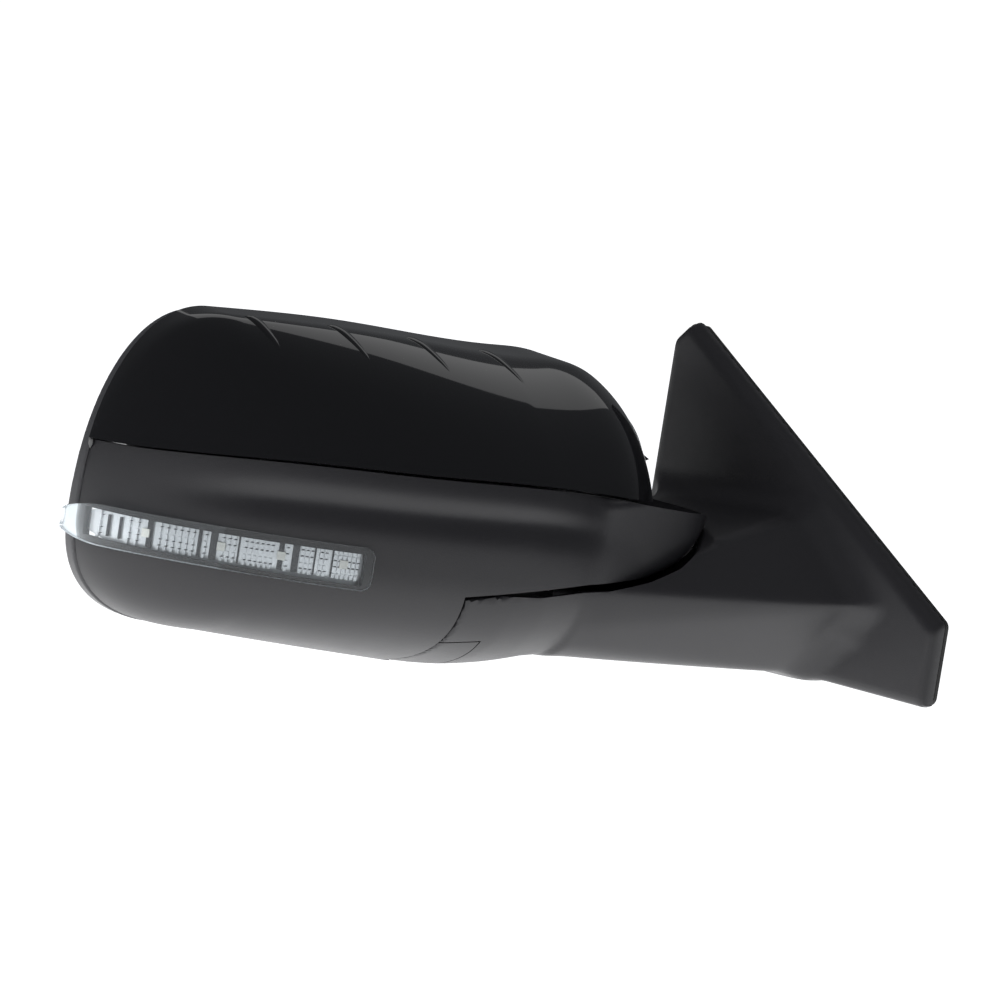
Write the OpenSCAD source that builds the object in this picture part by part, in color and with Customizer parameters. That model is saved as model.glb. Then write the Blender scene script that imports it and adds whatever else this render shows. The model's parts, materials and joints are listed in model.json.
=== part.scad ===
// Right-hand door mirror with a power-fold head, a wrap-round turn signal and a motor-driven glass.
// Frame: +Z up, the door face is the plane X = 0 and faces +X, the head reaches out to -X,
// the car drives towards -Y, and the glass faces +Y. The origin is the centre of the stud circle.

/* [Head] */
// Where the head's reference point lies, out from the door
head_out = 95; // [90:1:100]
// Where the head's reference point lies, behind the stud circle
head_back = 35; // [32:1:38]
// How far the head is swept back, in degrees
sweep = 9; // [8:0.5:10]
// Plane of the rear rim, behind the reference point
rim_y = 75; // [74:0.5:76]
// Outer end of the head, out from the reference point
outer_x = 266; // [262:1:268]
// Wall of the plastic shells
wall = 2.4; // [2:0.1:2.8]
// Gap between neighbouring shells
gap = 0.6; // [0.5:0.1:0.9]
// Number of fins on the cap
fins = 4; // [3:1:5]

/* [Fold] */
// Lean of the fold axis, outwards at the top, in degrees
lean = 9; // [8:0.5:10]
// Pivot, out from the head's reference point
pivot_x = 40; // [38:1:42]
// Radius of the pivot pin
pin_r = 9; // [8:0.5:10]
// Running clearance on the pivot pin
pin_gap = 0.06; // [0.03:0.01:0.09]

/* [Base] */
// Diameter of the stud circle
stud_pcd = 84; // [78:1:90]
// Radius of a stud
stud_r = 3; // [2.5:0.5:4]
// Length of a stud beyond the door face
stud_len = 22; // [16:1:30]
// Radius of the hole for the wiring harness
harness_r = 6; // [5:0.5:7]
// Thickness of the sail at its edge
sail_t = 12; // [11:0.5:13]

/* [Glass] */
// Thickness of the mirror glass
glass_t = 2; // [1.8:0.1:2.2]
// Reach of each jack screw from the middle of the glass
jack_arm = 30; // [29:0.5:31]
// Width of the rim around the glass
rim_w = 10; // [9:0.5:11]

/* [Hidden] */

$fn = 48;
eps = 0.01;
mid_z = -15;                      // height of the fullest section of the head
pivot_z = -15.6;                  // height of the parting plane at the pivot
inner_x = 54;                     // inner end of the head
split_pts = [[-266, 23], [-250, 25.3], [-190, 30.4], [-132, 31.6], [-60, 32.3], [40, 27]];
front_pts = [[-60, -61], [-20, -58], [5, -50], [18, -38], [30, -20], [42, 0], [50, 14], [54, 26]];
rear_pts = [[8, 75], [25, 72], [38, 62], [48, 44], [53, 32], [54, 26]];
top_pts = [[-206, 94], [-128, 95], [-30, 92], [10, 88], [30, 77], [45, 63], [54, 45]];
gimbal = [-122, 43, 10];          // middle of the glass joint, from the head's reference point
shell_y = 66;                     // where the cap and the housing end and the bezel begins
lens_end = -158;                  // inner end of the turn signal lens
lens_top = -6.7;
lens_low = -28;
sail_front = -143;
sail_rear = 69;
sail_low = -50;
sail_nose = -6;                   // top of the short front edge of the sail
apex = [57, 122];

// ---------------------------------------------------------------- frames
module in_head() {
    translate([-head_out, head_back, 0]) rotate([0, 0, -sweep]) children();
}
module in_fold() {
    in_head() translate([-pivot_x, 0, pivot_z]) rotate([0, -lean, 0]) children();
}
// Free-form shells are worked out as one mesh
module freeform() {
    resize([0, 0, 0]) children();
}

// ---------------------------------------------------------------- head surface
// Smooth curve through points [x, value]
function slope(p, k) = k == 0 ? (p[1][1] - p[0][1]) / (p[1][0] - p[0][0])
    : k == len(p) - 1 ? (p[k][1] - p[k - 1][1]) / (p[k][0] - p[k - 1][0])
    : (p[k + 1][1] - p[k - 1][1]) / (p[k + 1][0] - p[k - 1][0]);
function span_of(p, x, k = 0) = k >= len(p) - 2 || x <= p[k + 1][0] ? k : span_of(p, x, k + 1);
function hermite(t, a, b, m0, m1) = (2 * t ^ 3 - 3 * t ^ 2 + 1) * a + (t ^ 3 - 2 * t ^ 2 + t) * m0
    + (3 * t ^ 2 - 2 * t ^ 3) * b + (t ^ 3 - t ^ 2) * m1;
function smooth_at(p, x0) = let (x = min(max(x0, p[0][0]), p[len(p) - 1][0]), k = span_of(p, x),
    h = p[k + 1][0] - p[k][0])
    hermite((x - p[k][0]) / h, p[k][1], p[k + 1][1], slope(p, k) * h, slope(p, k + 1) * h);
function arch(t, n) = max(0, 1 - max(0, t) ^ n) ^ (1 / n);

// Front, rear, top and bottom of the section at x, drawn in by a skin thickness t
function front_at(x, t) = x < -60
    ? rim_y - (rim_y + 61 - t) * arch((-60 - x) / (outer_x - 60 - t), 2) : smooth_at(front_pts, x) + t;
function rear_at(x, t) = x < 8 ? rim_y : smooth_at(rear_pts, x) - min(t, (x - 8) * t / 20);
function top_at(x, t) = x < -206
    ? mid_z + (94 - mid_z - t) * arch((-206 - x) / (outer_x - 206 - t), 2.15) : smooth_at(top_pts, x) - t;
function low_at(x, t) = x < -204
    ? mid_z - (53 - t) * arch((-204 - x) / (outer_x - 204 - t), 2.4)
    : -68 - 8 * min(1, (x + 204) / 120) + t;
// Power of the section curve: round at the pivot, fuller towards the outer end
function fullness(x) = 2 + 0.6 * min(1, max(0, -x / 80));
function section(x, t, y_far, n) = let (p = fullness(x), f = front_at(x, t), r = rear_at(x, t),
    hi = top_at(x, t) - mid_z, lo = mid_z - low_at(x, t))
    concat([for (i = [0:n]) let (a = -90 + 180 * i / n, s = sin(a), c = cos(a))
        [x, r - (r - f) * abs(c) ^ (2 / p), mid_z + (s < 0 ? -lo : hi) * abs(s) ^ (2 / p)]],
        [[x, r + y_far, mid_z + hi], [x, r + y_far, mid_z - lo]]);
// Closed body of the head, drawn in by t and lengthened behind by y_far, stretched at the outer
// end by tip
module head_body(t = 0, y_far = 0, tip = 0, n = 26, stations = 26) {
    x0 = -outer_x + t + 0.6;
    x1 = inner_x - 0.4 - t * 0.6;
    xs = [for (i = [0:stations]) x0 + (x1 - x0) * (1 - cos(180 * i / stations)) / 2];
    m = n + 3;
    pts = [for (x = xs) each [for (q = section(x, t, y_far, n))
        [q[0] - tip * max(0, (-200 - x) / 66) ^ 2, q[1], q[2]]]];
    sides = [for (i = [0:stations - 1], j = [0:m - 1]) let (k = (j + 1) % m)
        each [[i * m + j, i * m + k, (i + 1) * m + k], [i * m + j, (i + 1) * m + k, (i + 1) * m + j]]];
    ends = [[for (j = [m - 1:-1:0]) j], [for (j = [0:m - 1]) stations * m + j]];
    polyhedron(pts, concat(sides, ends), convexity = 6);
}
// Everything above the cap's lower edge
module above_split(d = 0) {
    edge = [for (x = [-300:12:60]) [x, smooth_at(split_pts, x) + d]];
    rotate([90, 0, 0]) linear_extrude(400, center = true)
        polygon(concat(edge, [[80, 28 + d], [80, 160], [-300, 160]]));
}
module slab_y(y0, y1) {
    translate([-400, y0, -200]) cube([600, y1 - y0, 400]);
}

// ---------------------------------------------------------------- room that the base takes
// Plan of the platform under the head in the fold frame: top and bottom outlines
function platform_top(t) = [[-68 - t, -150], [-68 - t, 0], [-62 - t, 20], [-48 - t, 33 + t],
    [-30, 36 + t], [150, 36 + t], [150, -150]];
function platform_low(t) = [[-80 - t, -150], [-80 - t, -5], [-72 - t, 18], [-54 - t, 33 + t],
    [-30, 36 + t], [150, 36 + t], [150, -150]];
module platform_space(t = 0) {
    hull() {
        translate([0, 0, t - 1]) linear_extrude(1) polygon(platform_top(t));
        translate([0, 0, -68]) linear_extrude(1) polygon(platform_low(t));
    }
}
// Room behind the platform that the arm sweeps while the head folds
module sweep_space(t = 0) {
    translate([0, 140, 0]) rotate([90, 0, 0]) linear_extrude(108.3) offset(12) offset(delta = -12)
        polygon([[-84 - t, -110], [-84 - t, -60], [-40 - t, t + 0.2], [200, t + 0.2], [200, -110]]);
}
module base_space(t = 0) {
    in_fold_local() {
        platform_space(t);
        sweep_space(t);
    }
}
module in_fold_local() {
    translate([-pivot_x, 0, pivot_z]) rotate([0, -lean, 0]) children();
}

// ---------------------------------------------------------------- nose of the head
function nose_profile(t) = [[0, -2 + t], [64, -2 + t], [77 - t * 0.5, 1.8 + t], [88 - t, 7 + t * 0.6],
    [95 - t, 14 + t * 0.3], [100.6 - t, 22], [102.6 - t, 28], [101.6 - t, 33 - t * 0.5],
    [95 - t * 0.7, 38 - t], [80, 41.5 - t], [0, 42 - t]];
module nose(t = 0) {
    rotate_extrude($fn = 96) polygon(nose_profile(t));
}
module head_nose(t = 0) {
    intersection() {
        in_fold_local() nose(t);
        translate([0, 0, -40]) linear_extrude(90) offset(delta = -t) polygon([[-29.3, -59.5],
            [12, -59.5], [34, -56.5], [47, -48], [56, -36], [66, -15], [68, 34.6], [-29.3, 34.6]]);
    }
}

// ---------------------------------------------------------------- head shells
module fin(x) {
    hull() {
        translate([x, 58, top_at(x, 0) - 1]) sphere(2.6, $fn = 12);
        translate([x + 5, 18, top_at(x + 5, 0) - 3.2]) sphere(1.6, $fn = 12);
    }
}
module upper_cap() color([0.03, 0.03, 0.035]) in_head() freeform() difference() {
    union() {
        intersection() {
            head_body(0);
            above_split();
            slab_y(-100, shell_y);
        }
        for (i = [0:fins - 1]) fin(-183 + 53 * i);
    }
    head_body(wall, 20);
}

module lower_housing() color([0.13, 0.13, 0.135]) in_head() freeform() difference() {
    union() {
        intersection() {
            head_body(1);
            slab_y(-100, shell_y);
            difference() {
                translate([-400, -200, -200]) cube([600, 400, 400]);
                above_split(-gap);
            }
        }
        intersection() {
            head_body(wall + 0.5);
            slab_y(-100, shell_y - 6);
            above_split(-6);
            difference() {
                translate([-400, -200, -200]) cube([600, 400, 400]);
                above_split(5);
            }
        }
        difference() {
            head_nose();
            above_split(-gap);
        }
    }
    difference() {
        union() {
            head_body(wall + 2.5, 20);
            difference() {
                head_body(wall + 1, 20);
                above_split(-8);
            }
            head_nose(wall);
        }
        base_space(wall + gap);
        for (x = boss_x) translate([x, -100, boss_z]) rotate([-90, 0, 0]) cylinder(r = 5, h = 101.8);
    }
    base_space(gap);
    socket_relief();
    in_fold_local() {
        cylinder(r = 27.5, h = 60, center = true);
        translate([-79, -150, -110]) cube([400, 300, 42]);
    }
    for (x = boss_x) translate([x, -8, boss_z]) rotate([-90, 0, 0]) cylinder(r = 1.5, h = 20);
    lens_room(gap);
}
// What the inner end of the head gives up so that it turns inside the socket of the base
module socket_relief() {
    in_fold_local() difference() {
        translate([10, -200, -6]) cube([200, 400, 34]);
        nose();
    }
}
// Band of the skin that the turn signal takes
module lens_room(g = 0) {
    rotate([90, 0, 0]) linear_extrude(400, center = true)
        polygon([[-300, lens_top + g], [lens_end - 8, lens_top + g], [lens_end - 2 + g, lens_top - 5],
            [lens_end + g, lens_low + 4], [lens_end - 5, lens_low - 2 - g], [-300, lens_low + 1 - g]]);
}
module signal_lens() color([0.9, 0.92, 0.95, 0.5]) in_head() freeform() intersection() {
    difference() {
        head_body(-0.6, 0, 7);
        head_body(1.8, 20, 6);
    }
    slab_y(-100, shell_y);
    lens_room(0);
}
module signal_reflector() color([0.85, 0.86, 0.88]) in_head() freeform() intersection() {
    difference() {
        head_body(7, 0, 4);
        head_body(8.6, 20, 4);
    }
    slab_y(-100, shell_y - 32);
    lens_room(-1.2);
}
module signal_case() color([0.1, 0.1, 0.11]) in_head() freeform() intersection() {
    difference() {
        head_body(11.6, 0, 3);
        head_body(13.6, 20, 3);
    }
    slab_y(-100, shell_y - 34);
    lens_room(-1);
}
module led_board() color([0.05, 0.3, 0.12]) in_head() freeform() intersection() {
    difference() {
        head_body(9.4, 0, 3);
        head_body(10.8, 20, 3);
    }
    slab_y(-100, shell_y - 38);
    lens_room(-3);
}
// Places of the four light sources along the board
led_x = [-240, -222, -196, -168];
module signal_leds() color([1, 0.75, 0.2]) in_head() {
    for (x = led_x) translate([x, front_at(x, 0) + 4.6, (lens_top + lens_low) / 2])
        rotate([0, 0, atan2(front_at(x + 3, 0) - front_at(x - 3, 0), 6)])
            cube([5, 1.2, 5], center = true);
}

module rear_bezel() color([0.16, 0.16, 0.165]) in_head() freeform() difference() {
    intersection() {
        head_body(0);
        slab_y(shell_y + gap, rim_y + 1);
    }
    difference() {
        head_body(rim_w, 20);
        base_space(rim_w);
    }
    base_space(gap);
    socket_relief();
}

// ---------------------------------------------------------------- glass
module glass_plan(t) {
    difference() {
        head_body(t, 20, 0, 26, 40);
        base_space(t + 2);
        rotate([90, 0, 0]) linear_extrude(400, center = true)
            polygon([[16, -60], [16, 2], [44, 46], [90, 46], [90, -60]]);
    }
}
module mirror_glass() color([0.75, 0.8, 0.85]) in_head() freeform() intersection() {
    glass_plan(rim_w + 4);
    slab_y(gimbal[1] + 13, gimbal[1] + 13 + glass_t);
}
module heater_pad() color([0.2, 0.2, 0.2]) in_head() freeform() intersection() {
    glass_plan(rim_w + 8);
    slab_y(gimbal[1] + 12.3, gimbal[1] + 12.9);
}
module glass_holder() color([0.1, 0.1, 0.1]) in_head() difference() {
    union() {
        freeform() intersection() {
            glass_plan(rim_w + 5);
            slab_y(gimbal[1] + 9.8, gimbal[1] + 12.2);
        }
        translate(gimbal) {
            for (p = [[0, jack_arm], [-jack_arm, 0]])
                translate([p[0], -3.5, p[1]]) rotate([-90, 0, 0]) cylinder(r = 8, h = 14.5);
            for (s = [-1, 1]) translate([0, -3, s * 12]) rotate([-90, 0, 0]) cylinder(r = 3.4, h = 14);
        }
    }
    translate(gimbal) {
        for (p = [[0, jack_arm], [-jack_arm, 0]])
            translate([p[0], -4, p[1]]) rotate([-90, 0, 0]) cylinder(r = 5.3, h = 9.5);
        cylinder(r = 2.05, h = 60, center = true);
    }
}
module glass_gimbal() color([0.8, 0.8, 0.78]) in_head() translate(gimbal) {
    difference() {
        union() {
            cube([12, 6, 14], center = true);
            cylinder(r = 2, h = 32, center = true);
        }
        rotate([0, 90, 0]) cylinder(r = 2.05, h = 20, center = true);
    }
}
module jack(p) {
    in_head() translate([gimbal[0] + p[0], gimbal[1], gimbal[2] + p[1]]) {
        sphere(4.4);
        rotate([90, 0, 0]) cylinder(r = 3, h = 26);
        translate([0, -12, 0]) rotate([90, 0, 0]) cylinder(r = 4.4, h = 14);
    }
}
module tilt_jack() color([0.85, 0.85, 0.8]) jack([0, jack_arm]);
module pan_jack() color([0.85, 0.85, 0.8]) jack([-jack_arm, 0]);

// ---------------------------------------------------------------- glass actuator
case_back = 7.2;
case_front = 34;
// Everything below and inboard of the floor of the head, kept clear of the platform
module floor_corner(t = 0) {
    in_fold_local() translate([-74.6 - t, -200, -100]) cube([400, 400, 103.9 + t]);
}
// Turn +Z to the rear at the middle of the glass, with Y running down
module in_actuator() {
    translate([gimbal[0], 0, gimbal[2]]) rotate([-90, 0, 0]) children();
}
module actuator_case() color([0.12, 0.12, 0.13]) in_head() difference() {
    in_actuator() translate([0, 0, case_back]) cylinder(r = 44, h = case_front - 4 - case_back);
    difference() {
        in_actuator() translate([0, 0, case_back + 2.5]) cylinder(r = 41.5, h = 40);
        floor_corner(2.5);
    }
    floor_corner();
    in_actuator() {
        for (a = [45, 135, 225, 315]) rotate(a) translate([38, 0, 0]) cylinder(r = 1.6, h = 60);
        for (a = [0, 90, 180, 270]) rotate(a) translate([30, 0, 0]) cylinder(r = 1.5, h = 30);
    }
}
module actuator_cover() color([0.15, 0.15, 0.16]) in_head()
    translate([gimbal[0], 0, gimbal[2]]) {
        difference() {
            rotate([-90, 0, 0]) translate([0, 0, case_front - 3.8]) cylinder(r = 44, h = 3);
            rotate([-90, 0, 0]) {
                for (p = [[0, -jack_arm], [-jack_arm, 0]]) translate(p) cylinder(r = 5, h = 60);
                for (a = [45, 135, 225, 315]) rotate(a) translate([38, 0, 0]) cylinder(r = 1.6, h = 60);
            }
            translate([-gimbal[0], 0, -gimbal[2]]) floor_corner();
        }
        for (s = [-1, 1]) translate([s * 10, 0, 0]) difference() {
            translate([-1.8, case_front - 0.9, -5]) cube([3.6, gimbal[1] + 4 - case_front + 0.9, 10]);
            translate([0, gimbal[1], 0]) rotate([0, 90, 0]) cylinder(r = 2.02, h = 10, center = true);
        }
    }
module tilt_axle() color([0.7, 0.7, 0.72]) in_head() translate(gimbal)
    rotate([0, 90, 0]) cylinder(r = 2, h = 24, center = true);
module motor(l) {
    cylinder(r = 9, h = l);
    translate([0, 0, -3]) cylinder(r = 3.5, h = 3 + eps);
    translate([0, 0, l - eps]) cylinder(r = 1, h = 8);
}
module tilt_motor() color([0.7, 0.7, 0.72]) in_head()
    translate([gimbal[0] + 20, 20.5, gimbal[2] - 14]) motor(28);
module pan_motor() color([0.7, 0.7, 0.72]) in_head()
    translate([gimbal[0] - 24.2, 20.5, gimbal[2] - 20]) rotate([0, 90, 0]) cylinder(r = 8, h = 20);

// ---------------------------------------------------------------- head frame and fold drive
frame_y = 2;
boss_x = [-182, -135];            // screw bosses of the lower housing
boss_z = -42;
module head_frame() color([0.72, 0.73, 0.75]) difference() {
    union() {
        in_head() {
            translate([-200, frame_y, -30]) cube([130, 5, 84]);
            for (z = [-20, 12, 46]) translate([-200, frame_y - 8, z]) cube([160, 9, 4]);
            for (x = boss_x) translate([x - 7, frame_y, boss_z - 7]) cube([14, 5, 20]);
        }
        in_fold() translate([0, 0, 5]) cylinder(r = 26, h = 57);
    }
    in_fold() {
        translate([0, 0, -10]) cylinder(r = pin_r + pin_gap, h = 90);
        translate([0, 0, 15]) cylinder(r = 17, h = 60);
    }
    in_head() {
        floor_corner();
        translate([gimbal[0], -20, gimbal[2]]) rotate([-90, 0, 0]) {
            cylinder(r = 18, h = 60);
            for (a = [0, 90, 180, 270]) rotate(a) translate([30, 0, 0]) cylinder(r = 1.5, h = 60);
        }
        for (x = boss_x) translate([x, -20, boss_z]) rotate([-90, 0, 0]) cylinder(r = 1.6, h = 60);
    }
}
module thrust_washer() color([0.9, 0.9, 0.86]) in_fold() translate([0, 0, 3.2]) difference() {
    cylinder(r = 24, h = 1.6);
    translate([0, 0, -1]) cylinder(r = pin_r + 0.3, h = 5);
}
module fold_spring() color([0.55, 0.56, 0.58]) in_fold() spring(13.2, 1.5, 16.8, 59.6, 6.5);
// Coil spring: one tube swept along a helix with level ends
function coil_z(a, z0, z1, turns) = z0 + (z1 - z0) * min(1, max(0, (a - 0.5) / (turns - 1)));
module spring(r, w, z0, z1, turns) {
    steps = 16 * turns;
    sides = 6;
    pts = [for (i = [0:steps], j = [0:sides - 1]) let (a = i / 16, b = 360 * j / sides)
        [(r + w * cos(b)) * cos(360 * a), (r + w * cos(b)) * sin(360 * a),
         coil_z(a, z0, z1, turns) + w * sin(b)]];
    skin = [for (i = [0:steps - 1], j = [0:sides - 1]) let (k = (j + 1) % sides)
        each [[i * sides + j, i * sides + k, (i + 1) * sides + k],
            [i * sides + j, (i + 1) * sides + k, (i + 1) * sides + j]]];
    caps = [[for (j = [sides - 1:-1:0]) j], [for (j = [0:sides - 1]) steps * sides + j]];
    polyhedron(pts, concat(skin, caps), convexity = 10);
}
module spring_retainer() color([0.6, 0.6, 0.62]) in_fold() translate([0, 0, 61.4]) difference() {
    cylinder(r = 16, h = 3);
    translate([0, 0, -1]) cylinder(r = pin_r, h = 6);
}
module fold_gearcase() color([0.14, 0.14, 0.15]) in_fold() difference() {
    translate([-26, -47.6, 6]) cube([52, 20.4, 28]);
    translate([-23.5, -45.6, 8.5]) cube([47, 16.4, 50]);
}
module fold_motor() color([0.7, 0.7, 0.72]) in_fold() translate([0, -37.4, 9]) {
    cylinder(r = 8, h = 20);
    translate([0, 0, 20 - eps]) cylinder(r = 2, h = 4);
}

// ---------------------------------------------------------------- base
sail_pts = [[sail_front, sail_low], [sail_front, sail_nose], apex, [sail_rear, apex[1] - 12],
    [sail_rear, sail_low]];
module sail_plan(d = 0, r = 5) {
    offset(r) offset(-r - d) polygon(sail_pts);
}
// Extrude a (y, z) plan along -X from x = -x0 to x = -x1
module along_x(x0, x1) {
    translate([-x1, 0, 0]) rotate([90, 0, 90]) linear_extrude(x1 - x0) children();
}
module root_plan(t) {
    polygon([[-99 + t, -6 - t], [-60 + t, -50 + t], [56 - t, -50 + t], [58 - t, 30 - t], [-52 + t, 36 - t]]);
}
module under_line(t) {
    rotate([90, 0, 0]) linear_extrude(400, center = true) polygon([[-160, -78 + t], [-92, -73 + t],
        [-66, -66 + t], [-48, -59 + t], [-30, -56.5 + t], [110, -56.5 + t], [110, 60], [-160, 60]]);
}
module platform(t = 0) {
    intersection() {
        head_body(1 + t);
        in_fold_local() platform_space(-gap - t);
        slab_y(-100, 46 - t);
        under_line(t);
        translate([-200, -100, -100]) cube([185, 200, 200]);
    }
}
// Section of the arm under the nose of the head, as a slab along the arm
module arm_slab(t) {
    translate([-34, 0, 0]) rotate([90, 0, 90]) linear_extrude(70) offset(delta = -t)
        polygon([[-59, 20], [20, 20], [20, -56.5], [-33, -56.5], [-46, -49], [-55, -36], [-59, -20]]);
}
module arm(t = 0) {
    hull() {
        along_x(t > 0 ? -1 : 4, sail_t - 1 - t) root_plan(t);
        in_head() intersection() {
            arm_slab(t);
            in_fold_local() translate([-200, -200, -100]) cube([400, 400, 99.4 - t]);
        }
    }
}
module socket(t = 0) {
    hull() {
        along_x(t > 0 ? -1.2 : 4.4, sail_t - 1.3 - t)
            offset(-t) polygon([[-84, -20], [30, -30], [30, 30], [-40, 34]]);
        in_fold() intersection() {
            translate([0, 0, -6]) cylinder(r = 106 - t, h = 24 - t, $fn = 96);
            translate([70, -62, -20]) cube([60, 84, 60]);
        }
    }
}
module base_body(t = 0) {
    along_x(t > 0 ? -1.5 : 2.5, sail_t - t) sail_plan(t);
    arm(t);
    socket(t);
    in_head() platform(t);
}
module sail_cover() color([0.13, 0.13, 0.135]) freeform() difference() {
    base_body();
    base_body(wall);
    in_fold() {
        nose(-1.4);
        cylinder(r = 25, h = 60, center = true);
    }
    in_head() end_cover_room(gap);
}
module end_cover_room(g = 0) {
    in_fold_local() translate([-140, -120, -90]) cube([88 + g, 240, 64 + g]);
}
module pivot_end_cover() color([0.13, 0.13, 0.135]) freeform() difference() {
    in_head() intersection() {
        platform();
        end_cover_room();
    }
    in_head() platform(wall);
}
module door_gasket() color([0.06, 0.06, 0.06]) difference() {
    along_x(0, 2.4) sail_plan(0.4);
    along_x(-1, 4) sail_plan(7, 4);
}
// Plate behind the sail, and the beam from it to the pivot boss in plan
plate_pts = [[sail_front + 10, sail_low + 10], [sail_front + 10, sail_nose - 8], [apex[0] - 3, apex[1] - 17],
    [sail_rear - 10, apex[1] - 24], [sail_rear - 10, sail_low + 10]];
beam_pts = [[-4, -30], [-4, 44], [-112, 52], [-134, 54], [-134, 26], [-112, 22]];
stud_at = [for (a = [90, 210, 330]) stud_pcd / 2 * [cos(a), sin(a)]];
module base_bracket() color([0.72, 0.73, 0.75]) difference() {
    union() {
        along_x(0, 6) polygon(plate_pts);
        translate([0, 0, -45]) linear_extrude(17.4) polygon(beam_pts);
        in_fold() translate([0, 0, -36]) cylinder(r = 21, h = 31);
    }
    for (p = stud_at) translate([-30, p[0], p[1]]) rotate([0, 90, 0]) cylinder(r = stud_r + 0.65, h = 60);
    translate([-60, -8, -10]) rotate([0, 90, 0]) cylinder(r = harness_r + 3.05, h = 100);
    for (p = screw_at) translate([-30, p[0], p[1]]) rotate([0, 90, 0]) cylinder(r = 1.8, h = 60);
    in_fold() translate([0, 0, -34]) cylinder(r = pin_r + 0.02, h = 60);
}
screw_at = [[-105, -30], [36, 84], [50, 10]];
module mounting_studs() color([0.7, 0.71, 0.74]) for (p = stud_at) translate([0, p[0], p[1]]) {
    rotate([0, 90, 0]) cylinder(r = stud_r, h = stud_len);
    translate([-9, 0, 0]) rotate([0, 90, 0]) cylinder(r = stud_r + 0.6, h = 9);
    translate([-9.2, 0, 0]) rotate([0, 90, 0]) cylinder(r = 6, h = 3, $fn = 6);
}
module cover_screws() color([0.5, 0.5, 0.52]) for (p = screw_at) translate([-9.4, p[0], p[1]])
    rotate([0, 90, 0]) cylinder(r = 1.5, h = 9);
module harness_grommet() color([0.07, 0.07, 0.07]) translate([0, -8, -10]) rotate([0, 90, 0])
    difference() {
        union() {
            translate([0, 0, -18]) cylinder(r = harness_r + 3, h = 18);
            translate([0, 0, -9.4]) cylinder(r = harness_r + 6, h = 3.2);
        }
        translate([0, 0, -20]) cylinder(r = harness_r, h = 40);
    }
module pivot_pin() color([0.78, 0.79, 0.8]) in_fold() translate([0, 0, -33.8])
    difference() {
        cylinder(r = pin_r, h = 33.8 + 66);
        translate([0, 0, -1]) cylinder(r = 5, h = 130);
    }
module detent_ring() color([0.65, 0.65, 0.66]) in_fold() difference() {
    translate([0, 0, -3.6]) cylinder(r = 22, h = 6.6);
    translate([0, 0, -9]) cylinder(r = pin_r + 0.02, h = 20);
}
module frame_screws() color([0.5, 0.5, 0.52]) in_head() translate([gimbal[0], 0, gimbal[2]])
    for (a = [0, 90, 180, 270]) rotate([0, a, 0]) translate([30, 0, 0]) rotate([-90, 0, 0]) {
        translate([0, 0, frame_y - 1]) cylinder(r = 1.45, h = 10);
        translate([0, 0, case_back + 2.6]) cylinder(r = 3, h = 1.8);
    }
module actuator_screws() color([0.5, 0.5, 0.52]) in_head() translate([gimbal[0], 0, gimbal[2]])
    for (a = [45, 135, 225, 315]) rotate([0, a, 0]) translate([38, 0, 0]) rotate([-90, 0, 0]) {
        translate([0, 0, case_back + 1]) cylinder(r = 1.5, h = case_front - case_back - 1.8);
        translate([0, 0, case_front - 0.7]) cylinder(r = 3, h = 1.8);
    }
module housing_screws() color([0.5, 0.5, 0.52]) in_head()
    for (x = boss_x) translate([x, 0, boss_z]) rotate([-90, 0, 0]) {
        translate([0, 0, frame_y - 9]) cylinder(r = 1.45, h = 14);
        translate([0, 0, frame_y + 5.1]) cylinder(r = 3, h = 1.8);
    }

base_bracket();
sail_cover();
pivot_end_cover();
door_gasket();
mounting_studs();
cover_screws();
harness_grommet();
pivot_pin();
detent_ring();
spring_retainer();
thrust_washer();
fold_spring();
head_frame();
fold_motor();
fold_gearcase();
upper_cap();
lower_housing();
rear_bezel();
signal_lens();
signal_reflector();
signal_case();
led_board();
signal_leds();
actuator_case();
actuator_cover();
tilt_motor();
pan_motor();
frame_screws();
actuator_screws();
housing_screws();
tilt_axle();
glass_gimbal();
tilt_jack();
pan_jack();
glass_holder();
heater_pad();
mirror_glass();
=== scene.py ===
import json
import math

import bmesh
import bpy
import numpy as np
from mathutils import Matrix, Vector


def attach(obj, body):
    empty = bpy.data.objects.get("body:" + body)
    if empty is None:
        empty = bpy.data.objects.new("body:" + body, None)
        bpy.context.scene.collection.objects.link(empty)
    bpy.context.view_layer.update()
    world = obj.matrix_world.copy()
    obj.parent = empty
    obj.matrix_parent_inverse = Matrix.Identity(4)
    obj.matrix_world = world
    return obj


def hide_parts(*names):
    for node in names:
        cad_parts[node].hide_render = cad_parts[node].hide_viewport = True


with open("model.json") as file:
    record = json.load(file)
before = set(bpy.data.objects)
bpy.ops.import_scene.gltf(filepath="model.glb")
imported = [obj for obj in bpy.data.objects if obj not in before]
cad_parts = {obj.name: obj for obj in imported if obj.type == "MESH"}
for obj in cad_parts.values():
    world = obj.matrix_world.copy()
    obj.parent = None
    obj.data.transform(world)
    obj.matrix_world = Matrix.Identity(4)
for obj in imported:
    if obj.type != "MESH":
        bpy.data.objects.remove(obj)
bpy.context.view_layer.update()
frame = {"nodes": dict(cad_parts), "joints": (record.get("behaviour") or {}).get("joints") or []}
nodes = frame["nodes"]
MM = 0.001

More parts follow.
